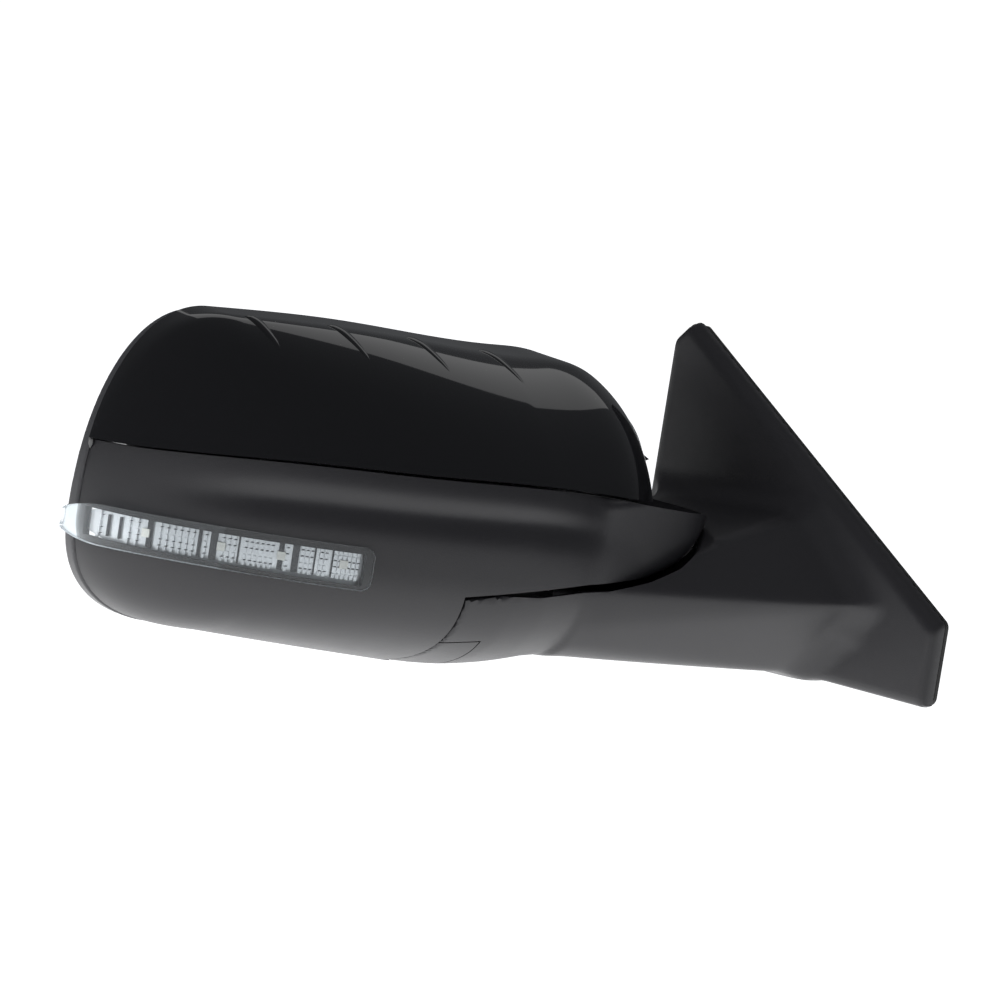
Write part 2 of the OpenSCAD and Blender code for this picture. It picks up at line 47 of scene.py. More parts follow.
# ------------------------------------------------------------------ frames
# Lengths are in millimetres. The head's own frame is swept back about +Z, with x to the car, y to
# the rear and z up; its origin lies PIVOT_X inboard of the fold axis. The fold frame has that axis
# as its z.
SWEEP = math.radians(9)
LEAN = math.radians(9)
PIVOT_X = 40
FOLD = next(joint for joint in frame["joints"] if joint["name"] == "fold")
pivot = Vector(FOLD["pos_m"]) / MM
PIVOT_Z = pivot.z
TURN = Matrix.Rotation(-SWEEP, 4, "Z")
HEAD = Matrix.Translation(pivot) @ TURN @ Matrix.Translation((PIVOT_X, 0, -PIVOT_Z))
LOCAL_FOLD = Matrix.Translation((-PIVOT_X, 0, PIVOT_Z)) @ Matrix.Rotation(-LEAN, 4, "Y")
FOLD_FRAME = HEAD @ LOCAL_FOLD
ROW = Matrix.Identity(4)
SHRINK = Matrix.Scale(MM, 4)

# ------------------------------------------------------------------ head shape
RIM_Y = 75                  # rear plane of the rim
SHELL_Y = 66                # rear edge of the cap and the housing
FRONT_Y = -61               # foremost place
OUTER_X = 266               # distance to the outer end, on the minus side
INNER_X = 54
MID_Z = -15                 # height at which the head is deepest
TOP_Z, LOW_Z = 94, -68      # where the outer end's rounding starts, above and below
WALL = 2.4
GAP = 0.6                   # seam between neighbouring pieces
# Where the outer end's rounding starts in plan, along the top and along the bottom, and how full it is
PLAN_BEND, TOP_BEND, LOW_BEND = -60, -206, -204
TOP_FULL, LOW_FULL = 2.15, 2.4
LOW_DROP, LOW_RUN = 8, 120  # the bottom falls this much over this length
REAR_BEND = 8               # from here the rear edge leaves the rim's plane
SPLIT = [(-266, 23), (-250, 25.3), (-190, 30.4), (-132, 31.6), (-60, 32.3), (40, 27), (80, 25)]
FRONT = [(-60, -61), (-20, -58), (5, -50), (18, -38), (30, -20), (42, 0), (50, 14), (54, 26)]
REAR = [(8, 75), (25, 72), (38, 62), (48, 44), (53, 32), (54, 26)]
TOP = [(-206, 94), (-128, 95), (-30, 92), (10, 88), (30, 77), (45, 63), (54, 45)]


def spline(points):
    """Natural cubic curve through (x, value) points, as a function of an array of x"""
    x = np.array([p[0] for p in points], float)
    y = np.array([p[1] for p in points], float)
    h = np.diff(x)
    n = len(x)
    a = np.eye(n)
    b = np.zeros(n)
    for i in range(1, n - 1):
        a[i, i - 1:i + 2] = h[i - 1], 2 * (h[i - 1] + h[i]), h[i]
        b[i] = 6 * ((y[i + 1] - y[i]) / h[i] - (y[i] - y[i - 1]) / h[i - 1])
    m = np.linalg.solve(a, b)

    def value(q):
        q = np.clip(np.asarray(q, float), x[0], x[-1])
        k = np.clip(np.searchsorted(x, q) - 1, 0, n - 2)
        left, right = x[k + 1] - q, q - x[k]
        return ((m[k] * left ** 3 + m[k + 1] * right ** 3) / (6 * h[k])
                + (y[k] / h[k] - m[k] * h[k] / 6) * left + (y[k + 1] / h[k] - m[k + 1] * h[k] / 6) * right)
    return value


front_curve, rear_curve, top_curve, split_curve = map(spline, (FRONT, REAR, TOP, SPLIT))


def arch(t, n):
    """Superellipse: 1 at t = 0, falling to 0 at t = 1"""
    return np.maximum(0, 1 - np.maximum(0, t) ** n) ** (1 / n)


def front_at(x, t=0):
    """Front edge of the head in plan, t under the skin"""
    outer = RIM_Y - (RIM_Y - FRONT_Y - t) * arch((PLAN_BEND - x) / (OUTER_X + PLAN_BEND - t), 2)
    return np.where(x < PLAN_BEND, outer, front_curve(x) + t)


def rear_at(x, t=0):
    return np.where(x < REAR_BEND, RIM_Y, rear_curve(x) - np.clip((x - REAR_BEND) / 20, 0, 1) * t)


def top_at(x, t=0):
    outer = MID_Z + (TOP_Z - MID_Z - t) * arch((TOP_BEND - x) / (OUTER_X + TOP_BEND - t), TOP_FULL)
    return np.where(x < TOP_BEND, outer, top_curve(x) - t)


def low_at(x, t=0):
    outer = MID_Z - (MID_Z - LOW_Z - t) * arch((LOW_BEND - x) / (OUTER_X + LOW_BEND - t), LOW_FULL)
    return np.where(x < LOW_BEND, outer, LOW_Z - LOW_DROP * np.minimum(1, (x - LOW_BEND) / LOW_RUN) + t)


def fullness(x):
    """Power of the front's section, rounder at the inner end"""
    return 2 + 0.6 * np.clip(-x / 80, 0, 1)


def half_height(x, z, t=0):
    """Height of the head above or below its middle, on z's side"""
    return np.where(z > MID_Z, top_at(x, t) - MID_Z, MID_Z - low_at(x, t))


def skin_y(x, z, t, most=1.0):
    """Front of the head at x and z, t under the skin, with z held within this share of the height"""
    n = fullness(x)
    share = np.clip(np.abs(z - MID_Z) / np.maximum(half_height(x, z, t), 1), 0, most)
    rear = rear_at(x, t)
    return rear - (rear - front_at(x, t)) * (1 - share ** n) ** (1 / n)


def smooth_max(a, b, k):
    """The larger of two fields, with the change-over eased across k"""
    h = np.clip(0.5 + 0.5 * (a - b) / k, 0, 1)
    return b * (1 - h) + a * h + k * h * (1 - h)


def smooth_min(a, b, k):
    return -smooth_max(-a, -b, k)


def smooth_step(t):
    t = np.clip(t, 0, 1)
    return t * t * (3 - 2 * t)


# ------------------------------------------------------------------ mesh helpers
def new_object(name, verts, faces, matrix=HEAD):
    mesh = bpy.data.meshes.new(name)
    mesh.from_pydata([tuple(v) for v in verts], [], [tuple(int(i) for i in f) for f in faces])
    mesh.transform(SHRINK @ matrix)
    mesh.validate()
    obj = bpy.data.objects.new(name, mesh)
    bpy.context.scene.collection.objects.link(obj)
    return obj


def fix_normals(obj):
    bm = bmesh.new()
    bm.from_mesh(obj.data)
    bmesh.ops.recalc_face_normals(bm, faces=bm.faces)
    bm.to_mesh(obj.data)
    bm.free()


def smooth_shade(obj, angle=35):
    obj.data.polygons.foreach_set("use_smooth", [True] * len(obj.data.polygons))
    obj.data.set_sharp_from_angle(angle=math.radians(angle))


def apply_modifiers(obj):
    graph = bpy.context.evaluated_depsgraph_get()
    mesh = bpy.data.meshes.new_from_object(obj.evaluated_get(graph))
    old = obj.data
    obj.modifiers.clear()
    obj.data = mesh
    bpy.data.meshes.remove(old)


def discard(obj):
    mesh = obj.data
    bpy.data.objects.remove(obj)
    bpy.data.meshes.remove(mesh)


def combine(obj, other, operation="DIFFERENCE"):
    """Boolean of obj with other, applied; other is used up"""
    mod = obj.modifiers.new("cut", "BOOLEAN")
    mod.operation = operation
    mod.object = other
    mod.solver = "MANIFOLD"
    apply_modifiers(obj)
    discard(other)
    return obj


def thicken(obj, wall):
    """Give a sheet a wall on its inner side"""
    solid = obj.modifiers.new("wall", "SOLIDIFY")
    solid.thickness = wall * MM
    solid.offset = -1
    apply_modifiers(obj)


def new_copy(obj, name):
    copy = bpy.data.objects.new(name, obj.data.copy())
    bpy.context.scene.collection.objects.link(copy)
    copy.matrix_world = obj.matrix_world.copy()
    return copy


def join(obj, other):
    """Add other's mesh to obj's, and remove other"""
    bm = bmesh.new()
    bm.from_mesh(obj.data)
    bm.from_mesh(other.data)
    bm.to_mesh(obj.data)
    bm.free()
    discard(other)


def grid_faces(rows, columns):
    """Quads over points listed row by row"""
    starts = [i * columns + j for i in range(rows - 1) for j in range(columns - 1)]
    return [(a, a + 1, a + columns + 1, a + columns) for a in starts]


def prism(name, outline, low, high, matrix):
    """Closed prism over a plan outline (x, y), from low to high"""
    n = len(outline)
    verts = [(x, y, low) for x, y in outline] + [(x, y, high) for x, y in outline]
    faces = [tuple(range(n))[::-1], tuple(range(n, 2 * n))]
    faces += [(i, (i + 1) % n, n + (i + 1) % n, n + i) for i in range(n)]
    obj = new_object(name, verts, faces, matrix)
    fix_normals(obj)
    return obj


# ------------------------------------------------------------------ implicit shapes, for soft fillets
def compose(value):
    """Fill grid places where the inside meets itself only along an edge or at a corner"""
    for _ in range(12):
        inside = value < 0
        fill = np.zeros(value.shape, bool)
        for k in range(3):
            a, b = [j for j in range(3) if j != k]

            def part(i, j):
                cut = [slice(None)] * 3
                cut[a] = slice(i, value.shape[a] - 1 + i)
                cut[b] = slice(j, value.shape[b] - 1 + j)
                return tuple(cut)
            q = {(i, j): inside[part(i, j)] for i in (0, 1) for j in (0, 1)}
            cross = (q[0, 0] & q[1, 1] & ~q[0, 1] & ~q[1, 0]) | (~q[0, 0] & ~q[1, 1] & q[0, 1] & q[1, 0])
            for spot in q:
                fill[part(*spot)] |= cross & ~q[spot]
        nx, ny, nz = (size - 1 for size in value.shape)
        corner = {(i, j, k): inside[i:nx + i, j:ny + j, k:nz + k]
                  for i in (0, 1) for j in (0, 1) for k in (0, 1)}
        total = sum(c.astype(int) for c in corner.values())
        for (i, j, k), c in corner.items():
            far = corner[1 - i, 1 - j, 1 - k]
            lone = (c & far & (total == 2)) | (~c & ~far & (total == 6))
            for (u, v, w), d in corner.items():
                fill[u:nx + u, v:ny + v, w:nz + w] |= lone & ~d
        if not fill.any():
            break
        value = np.where(fill, -1e-3, value)
    return value


def surface_net(field, low, high, step):
    """Quads where the field crosses zero on a grid, then moved onto the true surface"""
    axes = [np.arange(low[k], high[k] + step, step) for k in range(3)]
    shape = tuple(len(a) for a in axes)
    points = np.stack(np.meshgrid(*axes, indexing="ij"), -1).reshape(-1, 3)
    value = field(points).reshape(shape)
    value = compose(value)
    inside = value < 0
    cells = tuple(s - 1 for s in shape)
    total = np.zeros(cells + (3,))
    count = np.zeros(cells)
    crossings = []
    for k in range(3):
        first = [slice(None)] * 3
        second = [slice(None)] * 3
        first[k], second[k] = slice(0, -1), slice(1, None)
        a, b = value[tuple(first)], value[tuple(second)]
        cross = inside[tuple(first)] != inside[tuple(second)]
        where = np.argwhere(cross)
        t = a[cross] / (a[cross] - b[cross])
        spot = where.astype(float)
        spot[:, k] += t
        others = [j for j in range(3) if j != k]
        for di in (0, 1):
            for dj in (0, 1):
                cell = where.copy()
                cell[:, others[0]] -= di
                cell[:, others[1]] -= dj
                ok = np.all((cell >= 0) & (cell < np.array(cells)), axis=1)
                np.add.at(total, tuple(cell[ok].T), spot[ok])
                np.add.at(count, tuple(cell[ok].T), 1)
        crossings.append((where, inside[tuple(first)][cross], others))
    used = count > 0
    index = -np.ones(cells, int)
    index[used] = np.arange(used.sum())
    verts = total[used] / count[used][:, None] * step + np.array([a[0] for a in axes])
    faces = []
    for k, (where, start_in, others) in enumerate(crossings):
        corners = []
        for di, dj in ((1, 1), (0, 1), (0, 0), (1, 0)):
            cell = where.copy()
            cell[:, others[0]] -= di
            cell[:, others[1]] -= dj
            corners.append(cell)
        ok = np.all([np.all((c >= 0) & (c < np.array(cells)), axis=1) for c in corners], axis=0)
        quad = np.stack([index[tuple(c[ok].T)] for c in corners], 1)
        turn = start_in[ok] if k != 1 else ~start_in[ok]
        quad[~turn] = quad[~turn][:, ::-1]
        faces.append(quad)
    for _ in range(4):
        value = field(verts)
        grad = np.stack([(field(verts + d) - field(verts - d)) / 0.1 for d in 0.05 * np.eye(3)], 1)
        size = np.maximum(0.15, np.linalg.norm(grad, axis=1))
        move = -(value / size ** 2)[:, None] * grad
        length = np.maximum(1e-9, np.linalg.norm(move, axis=1))
        verts = verts + move * np.minimum(1, 0.4 * step / length)[:, None]
    return verts, np.concatenate(faces)


def planes_of(points):
    """Outward planes (normal, offset) of the convex hull of points"""
    bm = bmesh.new()
    for p in points:
        bm.verts.new(p)
    bmesh.ops.convex_hull(bm, input=bm.verts)
    middle = sum((v.co for v in bm.verts), Vector()) / len(bm.verts)
    found = []
    for f in bm.faces:
        f.normal_update()
        n = f.normal if f.normal.dot(f.calc_center_median() - middle) > 0 else -f.normal
        if f.calc_area() < 1:
            continue
        row = (*n, n.dot(f.calc_center_median()))
        repeat = any(abs(row[3] - q[3]) < 0.3 and sum(abs(row[i] - q[i]) for i in range(3)) < 0.02
                     for q in found)
        if not repeat:
            found.append(row)
    bm.free()
    return np.array(found)


def soft_top(distances, k):
    """Largest of each row, softened across k"""
    top = distances.max(1)
    return top + k * np.log(np.exp((distances - top[:, None]) / k).sum(1))


def hull_field(planes, k):
    """Rounded convex body: the softened largest distance to its planes"""
    return lambda p: soft_top(p @ planes[:, :3].T - planes[:, 3], k)


def polygon_field(outline, k):
    """Distance to a convex outline given anticlockwise, its corners softened across k"""
    rows = []
    for (x0, y0), (x1, y1) in zip(outline, outline[1:] + outline[:1]):
        n = np.array([y1 - y0, x0 - x1]) / math.hypot(x1 - x0, y1 - y0)
        rows.append((*n, n @ np.array([x0, y0])))
    rows = np.array(rows)

    return lambda u, v: soft_top(u[:, None] * rows[:, 0] + v[:, None] * rows[:, 1] - rows[:, 2], k)


# ------------------------------------------------------------------ camera
CAMERA_ANGLES = (-45, 5, 9)  # azimuth, elevation, roll
CAMERA_DISTANCE = 2200
CAMERA_SHIFT = (-44.7, 15.8)  # to the right and up, from the head's origin
CAMERA_LENS = 150.5


def make_camera():
    """Long lens, from the front and outer side, rolled as the object was laid"""
    azimuth, elevation, roll = map(math.radians, CAMERA_ANGLES)
    aim = HEAD @ Vector((0, 0, 0))
    forward = -Vector((math.sin(azimuth) * math.cos(elevation), -math.cos(azimuth) * math.cos(elevation),
                       math.sin(elevation)))
    right = Vector((math.cos(azimuth), math.sin(azimuth), 0))
    up = right.cross(forward)
    eye = aim + right * CAMERA_SHIFT[0] + up * CAMERA_SHIFT[1] - forward * CAMERA_DISTANCE
    cam_x = right * math.cos(roll) + up * math.sin(roll)
    cam_y = -right * math.sin(roll) + up * math.cos(roll)
    data = bpy.data.cameras.new("camera")
    data.sensor_width = 36
    data.lens = CAMERA_LENS
    data.clip_end = 50
    camera = bpy.data.objects.new("camera", data)
    bpy.context.scene.collection.objects.link(camera)
    basis = Matrix((cam_x, cam_y, -forward)).transposed().to_4x4()
    camera.matrix_world = Matrix.Translation(eye * MM) @ basis
    bpy.context.scene.camera = camera


# ------------------------------------------------------------------ materials
def material(name, color, rough, metallic=0.0, coat=0.0, specular=0.5):
    """New material with its node tree and its main shader"""
    mat = bpy.data.materials.new(name)
    mat.use_nodes = True
    shader = mat.node_tree.nodes["Principled BSDF"]
    shader.inputs["Base Color"].default_value = (*color, 1)
    shader.inputs["Roughness"].default_value = rough
    shader.inputs["Metallic"].default_value = metallic
    shader.inputs["Coat Weight"].default_value = coat
    shader.inputs["Specular IOR Level"].default_value = specular
    return mat, mat.node_tree, shader


def noise(tree, scale, detail=3.0, roughness=0.5):
    """Noise fixed to the object, as a factor"""
    where = tree.nodes.new("ShaderNodeTexCoord")
    node = tree.nodes.new("ShaderNodeTexNoise")
    node.inputs["Scale"].default_value = scale
    node.inputs["Detail"].default_value = detail
    node.inputs["Roughness"].default_value = roughness
    tree.links.new(where.outputs["Object"], node.inputs["Vector"])
    return node.outputs["Fac"]


def ramp(tree, factor, low, high):
    """Map a factor from 0..1 to low..high"""
    node = tree.nodes.new("ShaderNodeMapRange")
    node.inputs["To Min"].default_value = low
    node.inputs["To Max"].default_value = high
    tree.links.new(factor, node.inputs["Value"])
    return node.outputs["Result"]


def color_mix(tree, factor, first, second):
    node = tree.nodes.new("ShaderNodeMix")
    node.data_type = "RGBA"
    node.inputs["A"].default_value = (*first, 1)
    node.inputs["B"].default_value = (*second, 1)
    tree.links.new(factor, node.inputs["Factor"])
    return node.outputs["Result"]


def bump(tree, shader, height, strength, distance):
    node = tree.nodes.new("ShaderNodeBump")
    node.inputs["Strength"].default_value = strength
    node.inputs["Distance"].default_value = distance
    tree.links.new(height, node.inputs["Height"])
    tree.links.new(node.outputs["Normal"], shader.inputs["Normal"])


def grained_plastic(name, color, rough, grain=1900, strength=0.35, spread=0.3):
    """Moulded plastic with a fine spark-eroded grain"""
    mat, tree, shader = material(name, color, rough)
    fine = noise(tree, grain, 2.0, 0.6)
    broad = noise(tree, 38, 3.0)
    darker = tuple(c * (1 - spread) for c in color)
    lighter = tuple(c * (1 + spread) for c in color)
    tree.links.new(color_mix(tree, fine, darker, lighter), shader.inputs["Base Color"])
    tree.links.new(ramp(tree, broad, rough - 0.04, rough + 0.05), shader.inputs["Roughness"])
    bump(tree, shader, fine, strength, 0.00022)
    return mat


def piano_black(name):
    """Deep black gloss skin with the faintest orange peel"""
    mat, tree, shader = material(name, (0.0035, 0.0035, 0.0042), 0.05, coat=1.0)
    shader.inputs["Coat Roughness"].default_value = 0.015
    peel = noise(tree, 220, 1.0)
    tree.links.new(ramp(tree, noise(tree, 60, 2.0), 0.04, 0.08), shader.inputs["Roughness"])
    bump(tree, shader, peel, 0.03, 0.0001)
    return mat


def cast_metal(name, color, rough):
    mat, tree, shader = material(name, color, rough, metallic=0.9)
    grain = noise(tree, 700, 3.0)
    tree.links.new(ramp(tree, grain, rough - 0.08, rough + 0.1), shader.inputs["Roughness"])
    bump(tree, shader, grain, 0.15, 0.0001)
    return mat


def clear_lens():
    """Clear plastic: see-through, with a mirror-like glance that grows at a low angle"""
    mat = bpy.data.materials.new("clear_lens")
    mat.use_nodes = True
    tree = mat.node_tree
    shader = tree.nodes["Principled BSDF"]
    shader.inputs["Base Color"].default_value = (0.9, 0.93, 0.95, 1)
    shader.inputs["Roughness"].default_value = 0.03
    clear = tree.nodes.new("ShaderNodeBsdfTransparent")
    clear.inputs["Color"].default_value = (0.96, 0.975, 0.98, 1)
    fresnel = tree.nodes.new("ShaderNodeFresnel")
    fresnel.inputs["IOR"].default_value = 1.45
    mix = tree.nodes.new("ShaderNodeMixShader")
    tree.links.new(fresnel.outputs["Fac"], mix.inputs["Fac"])
    tree.links.new(clear.outputs["BSDF"], mix.inputs[1])
    tree.links.new(shader.outputs["BSDF"], mix.inputs[2])
    tree.links.new(mix.outputs["Shader"], tree.nodes["Material Output"].inputs["Surface"])
    return mat


def pale_floor():
    """Bright matte floor that meets the white backdrop without an edge"""
    mat, tree, shader = material("pale_floor", (0.93, 0.93, 0.93), 0.9, specular=0.0)
    shader.inputs["Emission Color"].default_value = (1, 1, 1, 1)
    shader.inputs["Emission Strength"].default_value = 0.8
    return mat


MATERIALS = {}


def make_materials():
    MATERIALS["cap"] = piano_black("piano_black")
    MATERIALS["housing"] = grained_plastic("grained_housing", (0.0135, 0.0132, 0.0152), 0.44)
    MATERIALS["bezel"] = grained_plastic("satin_bezel", (0.034, 0.034, 0.037), 0.36, 2600, 0.2, 0.2)
    MATERIALS["dark"] = grained_plastic("dark_moulding", (0.016, 0.016, 0.018), 0.5, 1500, 0.2)
    MATERIALS["rubber"] = grained_plastic("rubber", (0.012, 0.012, 0.012), 0.75, 1300, 0.3)
    MATERIALS["lens"] = clear_lens()
    MATERIALS["alloy"] = cast_metal("cast_alloy", (0.5, 0.51, 0.53), 0.48)
    MATERIALS["zinc"] = cast_metal("zinc_plate", (0.62, 0.63, 0.6), 0.28)
    MATERIALS["steel"] = cast_metal("steel", (0.55, 0.55, 0.56), 0.3)
    MATERIALS["spring"] = cast_metal("spring_steel", (0.3, 0.3, 0.32), 0.35)
    MATERIALS["acetal"] = grained_plastic("acetal", (0.72, 0.72, 0.68), 0.4, 900, 0.05, 0.04)
    MATERIALS["board"] = grained_plastic("circuit_board", (0.01, 0.09, 0.03), 0.4, 900, 0.1, 0.2)
    MATERIALS["lamp"] = material("lamp_resin", (0.82, 0.8, 0.74), 0.12, coat=0.5)[0]
    MATERIALS["shade"] = material("reflector_shade", (0.03, 0.03, 0.035), 0.25)[0]
    MATERIALS["foil"] = grained_plastic("heater_foil", (0.06, 0.045, 0.03), 0.4, 700, 0.08, 0.3)
    MATERIALS["mirror"] = material("mirror_glass", (0.5, 0.53, 0.56), 0.015, metallic=1.0, coat=0.3)[0]
    MATERIALS["reflector"] = material("reflector", (0.8, 0.81, 0.83), 0.25, metallic=0.35)[0]


# Finish of the CAD nodes that stay in view; the rest are dark mouldings
FINISH = {
    "base_bracket": "alloy", "head_frame": "alloy", "mounting_studs": "zinc", "cover_screws": "zinc",
    "pivot_pin": "steel", "detent_ring": "steel", "spring_retainer": "steel", "fold_spring": "spring",
    "thrust_washer": "acetal", "glass_gimbal": "acetal", "tilt_jack": "acetal", "pan_jack": "acetal",
    "fold_motor": "steel", "tilt_motor": "steel", "pan_motor": "steel", "tilt_axle": "steel",
    "frame_screws": "zinc", "actuator_screws": "zinc", "housing_screws": "zinc", "door_gasket": "rubber",
    "harness_grommet": "rubber", "led_board": "board"}


def dress(obj, key, body, slot, *replaced):
    """Finish a piece, say what it moves with and hide the nodes it stands for; slot is not used"""
    obj.data.materials.clear()
    obj.data.materials.append(MATERIALS[key])
    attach(obj, body)
    if replaced:
        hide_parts(*replaced)
    return obj


# ------------------------------------------------------------------ upper cap
CAP_FULL = 2.2


def cap_lift(x):
    """Extra height of the cap's curve under its flattened roof, none at either end"""
    return 3.0 * np.clip((INNER_X - x) / 60, 0, 1) * np.clip((x + OUTER_X) / 60, 0, 1)


def section_points(x, w):
    """Points of the head's skin: x along the head, w from 0 (front) to 1 (top rear)"""
    s, c = np.sin(w * math.pi / 2), np.cos(w * math.pi / 2)
    rear = rear_at(x)
    y = rear - (rear - front_at(x)) * np.abs(c) ** (2 / CAP_FULL)
    z = MID_Z + (top_at(x) - MID_Z + cap_lift(x)) * np.abs(s) ** (2 / CAP_FULL)
    roof = top_at(x) - 0.05 * (rear - y)
    return np.stack([x, y, smooth_min(z, roof, 1.6)], -1)


def w_at_height(x, z):
    """The w at which the skin passes height z"""
    s = np.clip((z - MID_Z) / (top_at(x) + cap_lift(x) - MID_Z), 0, 1)
    return 2 / math.pi * np.arcsin(s ** (CAP_FULL / 2))


def drawn_forward(x, y):
    """The cap's y with its rear edge a little in front of the rim"""
    share = (y - front_at(x)) / np.maximum(1, rear_at(x) - front_at(x))
    return y - (RIM_Y - SHELL_Y) * np.clip(share, 0, 1) ** 3


def stations(x0, x1, count):
    """Places along the head, closer together at both ends"""
    a = np.linspace(0, 1, count)
    return x0 + (x1 - x0) * (1 - np.cos(math.pi * a)) / 2


FIN_COUNT = 4
FIN_START, FIN_PITCH, FIN_RUN = -198, 46, 8  # first fin's x, their spacing, and how far each runs inboard
FIN_TOP_W, FIN_SPAN_W = 0.86, 0.44  # where a fin starts on the section, and how far down it goes
FIN_TALL, FIN_HALF_WIDE, FIN_SINK = 4.8, 5.2, 1.2


def fin(number):
    """Low blade on the front edge of the cap's top, running down and inboard to nothing"""
    rows, across = 40, 13
    verts = []
    for u in np.linspace(0, 1, rows):
        x = FIN_START + FIN_PITCH * number + FIN_RUN * u
        w = FIN_TOP_W - FIN_SPAN_W * u
        spot, ahead = section_points(np.array([x, x]), np.array([w, w - 0.01]))
        along = (ahead - spot) / np.linalg.norm(ahead - spot)
        out = np.cross(np.array([1, 0, 0]), along)
        out *= np.sign(out[2] - out[1])
        spot[1] = drawn_forward(x, spot[1])
        tall = FIN_TALL * min(1, u / 0.1) ** 0.5 * (1 - u) ** 0.5 + 0.3
        wide = FIN_HALF_WIDE * (1 - 0.8 * u) + 0.3
        for a in np.linspace(0, math.pi, across):
            rise = tall * max(0, math.sin(a)) ** 0.7 - FIN_SINK
            verts.append(spot + np.array([-wide * math.cos(a), 0, 0]) + out * rise)
    starts = [i * across for i in range(rows)]
    ends = [tuple(range(across)), tuple(range(starts[-1], starts[-1] + across))[::-1]]
    base = [(a, b, b + across - 1, a + across - 1) for a, b in zip(starts, starts[1:])]
    return new_object("fin", verts, grid_faces(rows, across) + ends + base)


def upper_cap():
    rows, columns = 260, 110
    xs = stations(-OUTER_X + 1.2, INNER_X - 0.6, rows)
    x = np.repeat(xs[:, None], columns, 1)
    start = w_at_height(xs, split_curve(xs))
    t = np.linspace(0, 1, columns)[None, :]
    w = start[:, None] + (1 - start[:, None]) * t
    points = section_points(x, w)
    points[..., 1] = drawn_forward(x, points[..., 1])
    cap = new_object("upper_cap_skin", points.reshape(-1, 3), grid_faces(rows, columns))
    fix_normals(cap)
    thicken(cap, WALL)
    for number in range(FIN_COUNT):
        blade = fin(number)
        fix_normals(blade)
        join(cap, blade)
    smooth_shade(cap, 40)
    return dress(cap, "cap", "head", "cap_paint", "upper_cap")


# ------------------------------------------------------------------ fields of the head, in its own frame
def head_field(p, t=0):
    """Distance-like value of the head's body: below zero inside"""
    x, y, z = p.T
    n = fullness(x)
    front, rear = front_at(x, t), rear_at(x, t)
    depth = np.maximum(rear - front, 0.01)
    tall = np.maximum(half_height(x, z, t), 0.01)
    u = np.maximum(rear - y, 0) / depth
    v = np.abs(z - MID_Z) / tall
    rho = np.maximum((u ** n + v ** n) ** (1 / n), 1e-6)
    slope = np.hypot((u / rho) ** (n - 1) / depth, (v / rho) ** (n - 1) / tall)
    value = np.clip((rho - 1) / np.maximum(slope, 1e-3), -60, 60)
    return np.maximum(value, y - rear)


# The nose: its (radius, height) profile about the fold axis, and its plan in the head's frame
NOSE = [(0, -2), (64, -2), (77, 1.8), (88, 7), (95, 14), (100.6, 22), (102.6, 28), (101.6, 33),
        (95, 38), (80, 41.5), (0, 42)]
NOSE_PLAN = [(-29, -59.5), (12, -59.5), (34, -56.5), (47, -48), (56, -36), (66, -15), (68, 34), (-29, 34)]
nose_profile = polygon_field(NOSE, 0.8)
nose_plan = polygon_field(NOSE_PLAN, 2.5)


def fold_coords(p):
    """Radius, x and z about the fold axis, of points in the head's frame"""
    x, y, z = p[:, 0] + PIVOT_X, p[:, 1], p[:, 2] - PIVOT_Z
    c, s = math.cos(LEAN), math.sin(LEAN)
    fx, fz = x * c + z * s, z * c - x * s
    return np.hypot(fx, y), fx, fz


BAND_BELOW, BAND_HALF, BAND_DEPTH = 19, 7, 3.4  # the hollow band: below the split, half height, depth


def housing_field(p, t=0):
    """Lower housing: the body with a hollow band under the cap, run softly into the nose"""
    radius, fx, fz = fold_coords(p)
    x, z = p[:, 0], p[:, 2]
    band = np.exp(-((z - split_curve(x) + BAND_BELOW) / BAND_HALF) ** 2)
    dent = BAND_DEPTH * band * smooth_step((x + 258) / 60) * smooth_step((-5 - x) / 60)
    moved = p - np.stack([0 * x, dent, 0 * x], 1)
    body = head_field(moved, 0.6 + t)
    rim = nose_profile(radius, fz) + t
    body = np.where((fx > 10) & (fz < 28), smooth_max(body, rim, 1.0), body)
    nose = smooth_max(rim, nose_plan(x, p[:, 1]) + t, 3.0)
    return np.maximum(smooth_min(body, nose, 7.0), z - split_curve(x) - 6)


def outline_field(x, z):
    """Outline of the head seen from behind"""
    upper = z > MID_Z
    start = np.where(upper, float(TOP_BEND), float(LOW_BEND))
    wide = OUTER_X + start
    high = np.where(upper, TOP_Z - MID_Z, MID_Z - LOW_Z)
    power = np.where(upper, TOP_FULL, LOW_FULL)
    u, v = np.maximum(0, start - x) / wide, np.abs(z - MID_Z) / high
    rho = np.maximum((u ** power + v ** power) ** (1 / power), 0.01)
    slope = np.hypot((u / rho) ** (power - 1) / wide, (v / rho) ** (power - 1) / high)
    rounded_end = (rho - 1) / np.maximum(slope, 1e-3)
    return np.where(x < start, rounded_end, np.abs(z - MID_Z) - half_height(x, z))


RIM_WIDE = 10
RIM_END = 34       # inner end of the rim
RIM_BACK = 76


def ring_field(p):
    """Rear rim with its edges eased, stepped over the arm and the platform"""
    x, y, z = p.T
    _, fx, fz = fold_coords(p)
    wall_x = np.where(fz > -60, -40.6 + (fz - 0.8) * 0.72, -84.6)
    open_room = smooth_max(fz - 0.8, (wall_x - fx) * 0.8, 8.0)
    outer = smooth_max(outline_field(x, z), -open_room, 2.0)
    outer = smooth_max(outer, x - RIM_END, 9.0)
    # its lower inner corner is cut off, so that it meets less of the sail when the head folds
    outer = smooth_max(outer, (x - RIM_END - (z - 20)) * 0.7, 4.0)
    ring = smooth_max(outer, -(outer + RIM_WIDE), 1.6)
    slab = np.maximum(SHELL_Y + GAP - y, y - RIM_BACK)
    return smooth_max(ring, slab, 1.8)


